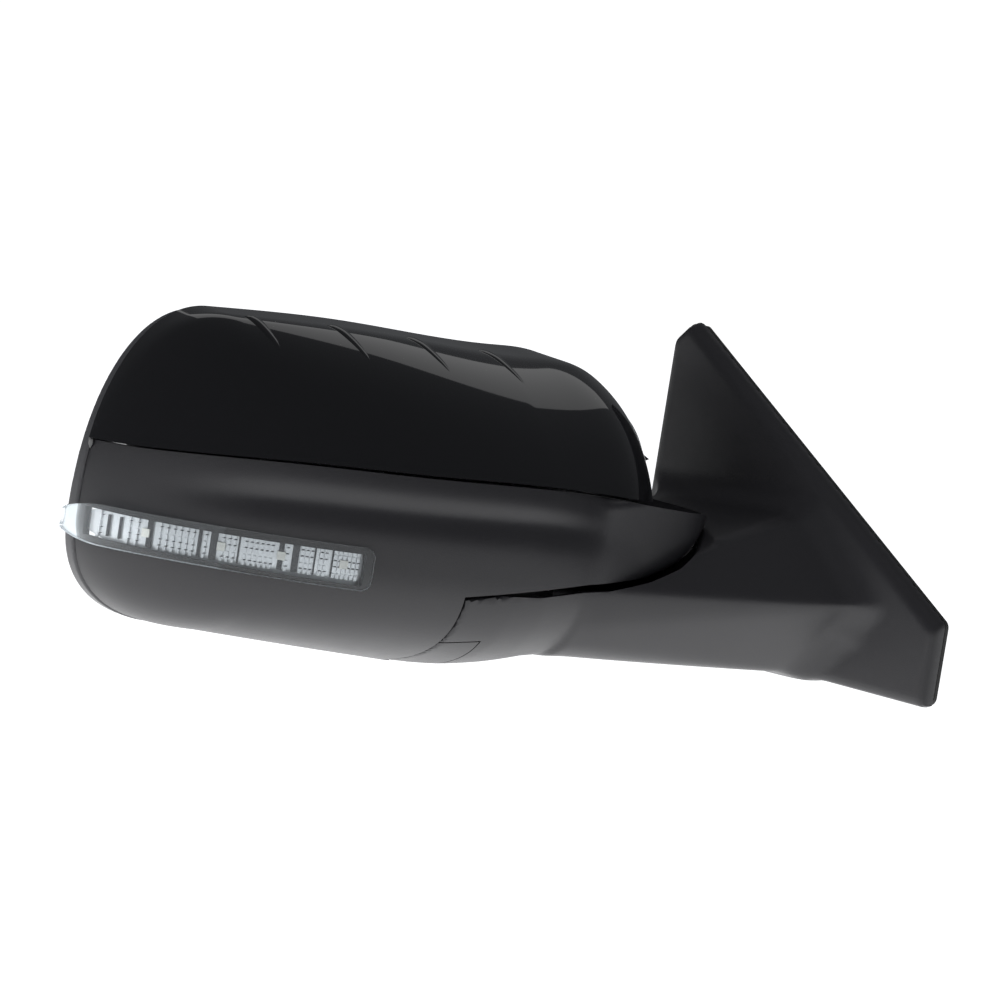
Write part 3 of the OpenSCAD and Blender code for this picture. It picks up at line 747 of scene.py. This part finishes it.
def net(name, field, low, high, step, matrix=HEAD):
    """Object over a field's surface, within a box"""
    verts, faces = surface_net(field, low, high, step)
    obj = new_object(name, verts, faces, matrix)
    fix_normals(obj)
    return obj


def revolve(name, profile, matrix, sides=160):
    """Closed solid of revolution from (radius, height) points, first and last on the axis"""
    rings = profile[1:-1]
    verts = [(0, 0, profile[0][1])]
    for r, z in rings:
        verts += [(r * math.cos(2 * math.pi * k / sides), r * math.sin(2 * math.pi * k / sides), z)
                  for k in range(sides)]
    verts.append((0, 0, profile[-1][1]))
    last = len(verts) - 1
    faces = [(0, 1 + (k + 1) % sides, 1 + k) for k in range(sides)]
    for i in range(len(rings) - 1):
        a, b = 1 + i * sides, 1 + (i + 1) * sides
        faces += [(a + k, a + (k + 1) % sides, b + (k + 1) % sides, b + k) for k in range(sides)]
    top = 1 + (len(rings) - 1) * sides
    faces += [(top + k, top + (k + 1) % sides, last) for k in range(sides)]
    obj = new_object(name, verts, faces, matrix)
    fix_normals(obj)
    return obj


def hull_object(name, points, matrix):
    """Convex hull of points as an object"""
    bm = bmesh.new()
    for p in points:
        bm.verts.new(p)
    made = bmesh.ops.convex_hull(bm, input=bm.verts)
    spare = set(made["geom_interior"]) | set(made["geom_unused"])
    junk = [e for e in spare if isinstance(e, bmesh.types.BMVert)]
    bmesh.ops.delete(bm, geom=junk, context="VERTS")
    bm.transform(SHRINK @ matrix)
    bmesh.ops.recalc_face_normals(bm, faces=bm.faces)
    mesh = bpy.data.meshes.new(name)
    bm.to_mesh(mesh)
    bm.free()
    obj = bpy.data.objects.new(name, mesh)
    bpy.context.scene.collection.objects.link(obj)
    return obj


PLATFORM_LOW = -68


def platform_points(t):
    """Corners, in the fold frame, of the block that the base's platform fills, grown by t"""
    inboard = [(-30, 36 + t), (150, 36 + t), (150, -150)]
    top = [(-68 - t, -150), (-68 - t, 0), (-62 - t, 20), (-48 - t, 33 + t)] + inboard
    low = [(-80 - t, -150), (-80 - t, -5), (-72 - t, 18), (-54 - t, 33 + t)] + inboard
    return [(x, y, t) for x, y in top] + [(x, y, PLATFORM_LOW) for x, y in low]


def rounded(corners, radius, steps=6):
    """Polygon with each corner replaced by an arc"""
    out = []
    n = len(corners)
    for i in range(n):
        a, b, c = (Vector(corners[(i + k) % n]) for k in (-1, 0, 1))
        u, v = (a - b).normalized(), (c - b).normalized()
        half = u.angle(v) / 2
        back = min(radius / math.tan(half), (a - b).length * 0.45, (c - b).length * 0.45)
        r = back * math.tan(half)
        middle = b + (u + v).normalized() * (r / math.sin(half))
        first, last = b + u * back - middle, b + v * back - middle
        for k in range(steps + 1):
            d = first.slerp(last, k / steps) if first.length > 1e-6 else first
            out.append(tuple(middle + d))
    return out


SWAP_XZ = Matrix(((1, 0, 0, 0), (0, 0, -1, 0), (0, 1, 0, 0), (0, 0, 0, 1)))


def side_prism(name, outline, y0, y1, matrix):
    """Prism over an (x, z) outline, from y0 to y1"""
    return prism(name, outline, -y1, -y0, matrix @ SWAP_XZ)


def base_room(t):
    """Cutter for all that the fixed base and the arm's sweep take from the head"""
    room = hull_object("platform_room", platform_points(t), FOLD_FRAME)
    sweep = rounded([(-84 - t, -110), (-84 - t, -60), (-40 - t, t), (200, t), (200, -110)], 12)
    return combine(room, side_prism("sweep_room", sweep, 31.7, 140, FOLD_FRAME), "UNION")


def above_split(drop):
    """Cutter for all that lies over the parting line with the cap"""
    xs = np.linspace(-300, 100, 90)
    line = [(x, float(split_curve(x)) + drop) for x in xs]
    return side_prism("above_split", line + [(100, 200), (-300, 200)], -120, 140, HEAD)


def box(name, low, high, matrix):
    """Cutter between two corners"""
    return prism(name, [(low[0], low[1]), (high[0], low[1]), (high[0], high[1]), (low[0], high[1])],
                 low[2], high[2], matrix)


def hub_room(radius):
    """Cutter for the pivot's hub, about the fold axis"""
    return revolve("hub_room", [(0, -30), (radius, -30), (radius, 30), (0, 30)], FOLD_FRAME)


LENS_TOP, LENS_LOW, LENS_END = -6.7, -28, -158
LENS_CORNER = 5
LENS_SEAM = 0.5


def lens_outline(g):
    """Outline of the lens, grown by g and run past the outer end"""
    band = [(-300, LENS_TOP + g), (-300, LENS_LOW + 1 - g), (LENS_END + g, LENS_LOW - 2 - g),
            (LENS_END + g, LENS_TOP + g)]
    return rounded(band, LENS_CORNER, 8)


def lower_housing():
    low, high = (-270, -66, -80), (72, 80, 46)
    shell = net("lower_housing_skin", housing_field, low, high, 1.9)
    inner = net("inner", lambda p: housing_field(p, WALL), low, high, 2.4)
    combine(inner, base_room(WALL + GAP))
    combine(shell, inner)
    combine(shell, box("rear_cut", (-400, SHELL_Y, -200), (200, 200, 200), HEAD))
    combine(shell, base_room(GAP))
    combine(shell, above_split(-GAP))
    combine(shell, side_prism("lens_room", lens_outline(LENS_SEAM), -120, 60, HEAD))
    combine(shell, hub_room(27.5))
    smooth_shade(shell, 38)
    return dress(shell, "housing", "head", "housing_plastic", "lower_housing")


def rear_bezel():
    rim = net("rear_bezel_rim", ring_field, (-270, 62, -80), (40, 80, 98), 1.5)
    smooth_shade(rim, 50)
    return dress(rim, "bezel", "head", "bezel_plastic", "rear_bezel")


# ------------------------------------------------------------------ turn signal
TIP_START = -200   # outboard of this the lamp is drawn out to its tip
TIP_RUN, TIP_FALL = 7, 6


def drawn_out(x, tip):
    """The x of a place on the lamp, whose outer end reaches tip further than the head does"""
    return x - tip * np.maximum(0, (TIP_START - x) / 66) ** 2


def quarter_round(share, radius):
    """How far a rounded end has fallen back, at this share of the way through it"""
    return radius * (1 - np.sqrt(1 - np.clip(share, 0, 1) ** 2))


def lens_patch(name, t, outline_gap, thick, tip):
    """Strip of the head's skin inside the lens outline, given a wall"""
    rows, columns = 200, 60
    x0, x1 = -OUTER_X + t + 0.8, LENS_END + outline_gap
    xs = stations(x0, x1, rows)
    low = LENS_LOW + 1 - outline_gap - (xs - x0) / (x1 - x0) * 1.6
    back = (quarter_round((xs - x1 + LENS_CORNER) / LENS_CORNER, LENS_CORNER)
            + quarter_round((x0 + TIP_RUN - xs) / TIP_RUN, TIP_FALL))
    z0, z1 = low + back, LENS_TOP + outline_gap - back
    v = np.linspace(0, 1, columns)[None, :]
    z = z0[:, None] * (1 - v) + z1[:, None] * v
    x = np.repeat(xs[:, None], columns, 1)
    y = np.minimum(skin_y(x, z, t), SHELL_Y - 0.2)
    points = np.stack([drawn_out(x, tip), y, z], -1)
    patch = new_object(name, points.reshape(-1, 3), grid_faces(rows, columns))
    fix_normals(patch)
    thicken(patch, thick)
    smooth_shade(patch, 45)
    return patch


REFLECTOR_TIP = 4
# Dark uprights of the reflector: (place along the head, width)
BARS = [(-262.2, 0.8), (-258.6, 1.0), (-255, 1.4), (-252.4, 1.2), (-244.5, 3.0), (-228.5, 1.8),
        (-223.5, 3.6), (-214, 0.9), (-196.8, 2.6), (-190.5, 3.4), (-182, 0.8), (-174, 0.8)]
BAR_THICK = 0.8
PRISM_START, PRISM_END, PRISM_PITCH = -261.0, -162, 2.15
PRISM_ROWS, PRISM_TOP, PRISM_DROP = 5, -10.9, 3.1
# The second size is that of a dark dash of painted shade under a prism
PRISM, SHADE_DASH, LAMP = (1.5, 2.3, 0.9), (1.3, 0.45, 0.5), (4.2, 4.2, 1.6)
LAMPS = (-246, -221, -197, -169)


def skin_frame(x, z, t):
    """Point on the head's front at depth t under the skin, and the directions along it and out of it"""
    def place(x):
        return Vector((drawn_out(x, REFLECTOR_TIP), skin_y(x, z, t, 0.97), z))
    here, ahead = place(x), place(x + 0.5)
    along = (ahead - here).normalized()
    return here, along, Vector((along.y, -along.x, 0))


def chip(verts, faces, x, z, t, size):
    """Small block lying on the surface at depth t"""
    here, along, out = skin_frame(x, z, t)
    start = len(verts)
    for i in (-0.5, 0.5):
        for j in (-0.5, 0.5):
            for k in (-0.5, 0.5):
                corner = here + along * (i * size[0]) + Vector((0, 0, j * size[1])) + out * (k * size[2])
                verts.append(tuple(corner))
    for f in ((0, 1, 3, 2), (4, 6, 7, 5), (0, 4, 5, 1), (2, 3, 7, 6), (0, 2, 6, 4), (1, 5, 7, 3)):
        faces.append(tuple(start + n for n in f))


def chips(name, block, key, slot, *replaced):
    obj = new_object(name, *block)
    fix_normals(obj)
    dress(obj, key, "head", slot, *replaced)


def reflector_detail():
    """Dark uprights, rows of fine prisms with dark dashes of painted shade under most of them, and light
    sources in front of the reflector
    """
    dark, bright, resin = ([], []), ([], []), ([], [])
    for x, wide in BARS:
        high = 13.5 if x > -250 else 11
        chip(*dark, x, -17.4, 6.1, (wide, high, BAR_THICK))
    x = PRISM_START
    while x < PRISM_END:
        clear_of_bars = min(abs(x - bar) - wide / 2 for bar, wide in BARS) > 0.6
        for row in range(PRISM_ROWS if clear_of_bars else 0):
            z = PRISM_TOP - PRISM_DROP * row
            chip(*bright, x, z, 6.2, PRISM)
            # two thirds of the prisms have a dark dash under them: painted shade under the prism
            if row < PRISM_ROWS - 1 and int(x * 7 + row * 5) % 3:
                chip(*dark, x + 0.3, z - PRISM_DROP / 2, 5.9, SHADE_DASH)
        x += PRISM_PITCH
    for x in LAMPS:
        chip(*resin, x, -17, 5.4, LAMP)
    # The dark chips are the reflector's uprights and the dashes of painted shade under the prisms
    chips("reflector_bars_and_painted_shade", dark, "shade", "dark_plastic")
    chips("reflector_prisms", bright, "reflector", "reflector_chrome")
    chips("light_sources", resin, "lamp", "led_resin", "signal_leds")


def turn_signal():
    lens = lens_patch("lens_cover", -0.8, 0, 2.2, 10)
    dress(lens, "lens", "head", "lens_clear", "signal_lens")
    strip = lens_patch("reflector_strip", 7, -1.5, 1.5, REFLECTOR_TIP)
    dress(strip, "reflector", "head", "reflector_chrome", "signal_reflector")
    reflector_detail()


# ------------------------------------------------------------------ base: sail, arm and platform
# Outlines in the row's (y, z) plane: the sail, the arm's root on it and the root of the nose's socket
SAIL = [(-143, -50), (69, -50), (69, 110), (57, 122), (-143, -6)]
ROOT = [(-99, -6), (-60, -50), (56, -50), (58, 30), (-52, 36)]
SOCKET = [(-84, -20), (30, -30), (30, 30), (-40, 34)]
SOCKET_R = 106
PLATE_X = -12      # outer face of the sail's plate
DOOR_X = -2.5      # its edge by the door, in front of the gasket
# Underside of the arm and the platform, in the head's (x, z) plane
UNDER = [(-160, -78), (-92, -73), (-66, -66), (-48, -59), (-30, -56.5), (110, -56.5)]
ROW_TO_HEAD = np.array(HEAD.inverted())


def head_points(p):
    return p @ ROW_TO_HEAD[:3, :3].T + ROW_TO_HEAD[:3, 3]


def parting_height(x, drop):
    """Height, in the head's frame, of the plane that lies drop under the fold frame's floor"""
    return PIVOT_Z + (x + PIVOT_X) * math.tan(LEAN) - drop / math.cos(LEAN)


def arm_planes():
    """Arm: from its root on the sail to a section under the nose"""
    points = [Vector((x, y, z)) for x in (-11, -4) for y, z in ROOT]
    for x in (-34, 36):
        top = parting_height(x, GAP)
        section = [(-59, top), (20, top), (20, -56.5), (-33, -56.5), (-46, -49), (-55, -36), (-59, -20)]
        points += [HEAD @ Vector((x, y, z)) for y, z in section]
    return planes_of(points)


def socket_planes():
    """Block round the nose, which is then cut out of it"""
    points = [Vector((x, y, z)) for x in (-10.7, -4.4) for y, z in SOCKET]
    for k in range(13):
        a = math.radians(-36 + 48 * k / 12)
        for z in (-6, 18):
            points.append(FOLD_FRAME @ Vector((SOCKET_R * math.cos(a), SOCKET_R * math.sin(a), z)))
    return planes_of(points)


def sail_planes():
    """Plate of the sail with a bevel along its long edge and a smaller one along the others"""
    middle = Vector((PLATE_X, -10, 20))
    rows = [(-1, 0, 0, -PLATE_X), (1, 0, 0, DOOR_X)]
    bevels = (2.0, 2.0, 2.0, 5.0, 2.0)
    for bevel, (y0, z0), (y1, z1) in zip(bevels, SAIL, SAIL[1:] + SAIL[:1]):
        n = Vector((0, z1 - z0, y0 - y1)).normalized()
        d = n.dot(Vector((0, y0, z0)))
        if n.dot(middle) > d:
            n, d = -n, -d
        rows.append((*n, d))
        cut = (n + Vector((-1, 0, 0))).normalized()
        corner = Vector((PLATE_X, 0, 0)) + n * (d - bevel)
        rows.append((*cut, cut.dot(corner)))
    return np.array(rows)


arm_field = hull_field(arm_planes(), 0.9)
socket_field = hull_field(socket_planes(), 0.9)
plate_field = hull_field(sail_planes(), 0.5)
platform_field = hull_field(planes_of(platform_points(-GAP)), 0.5)


def under_field(x, z):
    return np.interp(x, *zip(*UNDER)) - z


def base_field(p, t=0):
    """Sail cover, arm, socket and platform as one soft body, in the row frame"""
    q = head_points(p)
    radius, fx, fz = fold_coords(q)
    local = np.stack([fx, q[:, 1], fz], 1)
    deck = smooth_max(head_field(q, 1.0), platform_field(local), 1.5)
    deck = smooth_max(deck, q[:, 1] - 46, 2.0)
    deck = smooth_max(deck, under_field(q[:, 0], q[:, 2]), 4.0)
    deck = np.maximum(deck, q[:, 0] + 15)
    arm = smooth_min(arm_field(p), deck, 4.0)
    root = smooth_min(arm, socket_field(p), 7.0)
    return smooth_min(root, plate_field(p), 12.0) + t


def nose_cutter(grow):
    """Cutter for the room that the nose turns in"""
    profile = [(0, -2 - grow), (64, -2 - grow), (77 + grow * 0.5, 1.8 - grow), (88 + grow, 7 - grow * 0.6),
               (95 + grow, 14 - grow * 0.3), (100.6 + grow, 22), (102.6 + grow, 28), (103 + grow, 60),
               (0, 60)]
    return revolve("nose_room", profile, FOLD_FRAME)


END_COVER_X = -52  # the end cover's seam, in the fold frame


def sail_and_arm():
    low, high = (-214, -150, -84), (10, 124, 126)
    cover = net("sail_cover_skin", base_field, low, high, 2.0, ROW)
    inner = net("inner", lambda p: base_field(p, WALL), low, high, 3.0, ROW)
    combine(cover, inner)
    combine(cover, nose_cutter(1.4))
    combine(cover, box("above_plane", (-140, -150, -GAP), (24, 150, 100), FOLD_FRAME))
    combine(cover, hub_room(25))
    combine(cover, box("door_side", (DOOR_X, -300, -300), (100, 300, 300), ROW))
    end = new_copy(cover, "pivot_end_cover_skin")
    outer, floor = (-140, -120, -90), -26
    combine(end, box("keep", outer, (END_COVER_X, 120, floor), FOLD_FRAME), "INTERSECT")
    combine(cover, box("end_room", outer, (END_COVER_X + GAP, 120, floor + GAP), FOLD_FRAME))
    smooth_shade(cover, 38)
    smooth_shade(end, 38)
    dress(cover, "housing", "base", "housing_plastic", "sail_cover")
    dress(end, "housing", "base", "housing_plastic", "pivot_end_cover")


# ------------------------------------------------------------------ glass
GLASS_END = 18     # inner end, drawn in to leave the rim some room when the glass pans
GLASS_CORNER = 16  # cut off its upper inner corner


def glass_pieces():
    """Glass, heater and holder with their inner end cut back to the opening of the rim"""
    low, top, reach = -100, 120, 150
    inset = GLASS_END - GLASS_CORNER
    beyond = [(GLASS_END, low), (GLASS_END, 62), (inset, 80), (inset, top), (reach, top), (reach, low)]
    for name, key, slot in (("mirror_glass", "mirror", "mirror"), ("heater_pad", "foil", "heater_foil"),
                            ("glass_holder", "dark", "dark_plastic")):
        piece = new_copy(nodes[name], name + "_trimmed")
        bm = bmesh.new()
        bm.from_mesh(piece.data)
        bmesh.ops.remove_doubles(bm, verts=bm.verts, dist=0.000002)
        bm.to_mesh(piece.data)
        bm.free()
        combine(piece, side_prism("inner_end", beyond, 20, 120, HEAD))
        dress(piece, key, "glass", slot, name)


# ------------------------------------------------------------------ stage and light
def area_light(name, place, aim, size, power, mirrored=True):
    """Soft light, which glossy surfaces reflect only when mirrored"""
    data = bpy.data.lights.new(name, "AREA")
    data.shape = "RECTANGLE"
    data.size, data.size_y = size
    data.energy = power
    light = bpy.data.objects.new(name, data)
    bpy.context.scene.collection.objects.link(light)
    light.location = place
    light.visible_glossy = mirrored
    light.rotation_euler = (Vector(aim) - Vector(place)).to_track_quat("-Z", "Y").to_euler()


def background(tree, color, strength):
    node = tree.nodes.new("ShaderNodeBackground")
    node.inputs["Color"].default_value = (*color, 1)
    node.inputs["Strength"].default_value = strength
    return node


FLOOR_Z, FLOOR_HALF = -420, 9000


def stage():
    """White floor and backdrop, with soft lights above and behind"""
    corners = [(-FLOOR_HALF, -FLOOR_HALF, 0), (FLOOR_HALF, -FLOOR_HALF, 0),
               (FLOOR_HALF, FLOOR_HALF, 0), (-FLOOR_HALF, FLOOR_HALF, 0)]
    floor = new_object("floor", corners, [(0, 1, 2, 3)], Matrix.Translation((0, 0, FLOOR_Z)))
    floor.data.materials.append(pale_floor())
    scene = bpy.context.scene
    world = bpy.data.worlds.new("studio")
    scene.world = world
    world.use_nodes = True
    tree = world.node_tree
    white = tree.nodes["Background"]
    white.inputs["Color"].default_value = (1, 1, 1, 1)
    white.inputs["Strength"].default_value = 1.05
    path = tree.nodes.new("ShaderNodeLightPath")
    surface = background(tree, (0.92, 0.95, 1), 0.07)
    fill = background(tree, (0.94, 0.96, 1), 0.42)
    for ray, shade in (("Is Diffuse Ray", fill), ("Is Camera Ray", white)):
        mix = tree.nodes.new("ShaderNodeMixShader")
        tree.links.new(path.outputs[ray], mix.inputs["Fac"])
        tree.links.new(surface.outputs[0], mix.inputs[1])
        tree.links.new(shade.outputs[0], mix.inputs[2])
        surface = mix
    tree.links.new(surface.outputs[0], tree.nodes["World Output"].inputs["Surface"])
    scene.view_settings.view_transform = "Standard"
    middle = HEAD @ Vector((-110, 0, 0)) * MM
    area_light("back_top", (0.9, 1.1, 1.5), middle, (1.5, 0.8), 20, mirrored=False)
    area_light("back_gloss", (0.85, 1.0, 1.45), middle, (1.7, 0.7), 1.1)
    area_light("top_fill", (-0.6, -0.6, 1.7), middle, (1.4, 1.4), 12, mirrored=False)
    area_light("low_left", (-1.9, 0.5, 0.0), middle, (0.4, 1.1), 13, mirrored=False)
    area_light("door_side", (1.6, -0.3, 0.5), middle, (0.5, 1.2), 9, mirrored=False)
    area_light("door_gloss", (1.6, -0.3, 0.5), middle, (0.5, 1.2), 1.5)


make_camera()
make_materials()
upper_cap()
lower_housing()
rear_bezel()
turn_signal()
sail_and_arm()
glass_pieces()
for name in nodes:
    if not nodes[name].hide_render:
        nodes[name].data.materials.clear()
        nodes[name].data.materials.append(MATERIALS[FINISH.get(name, "dark")])
stage()
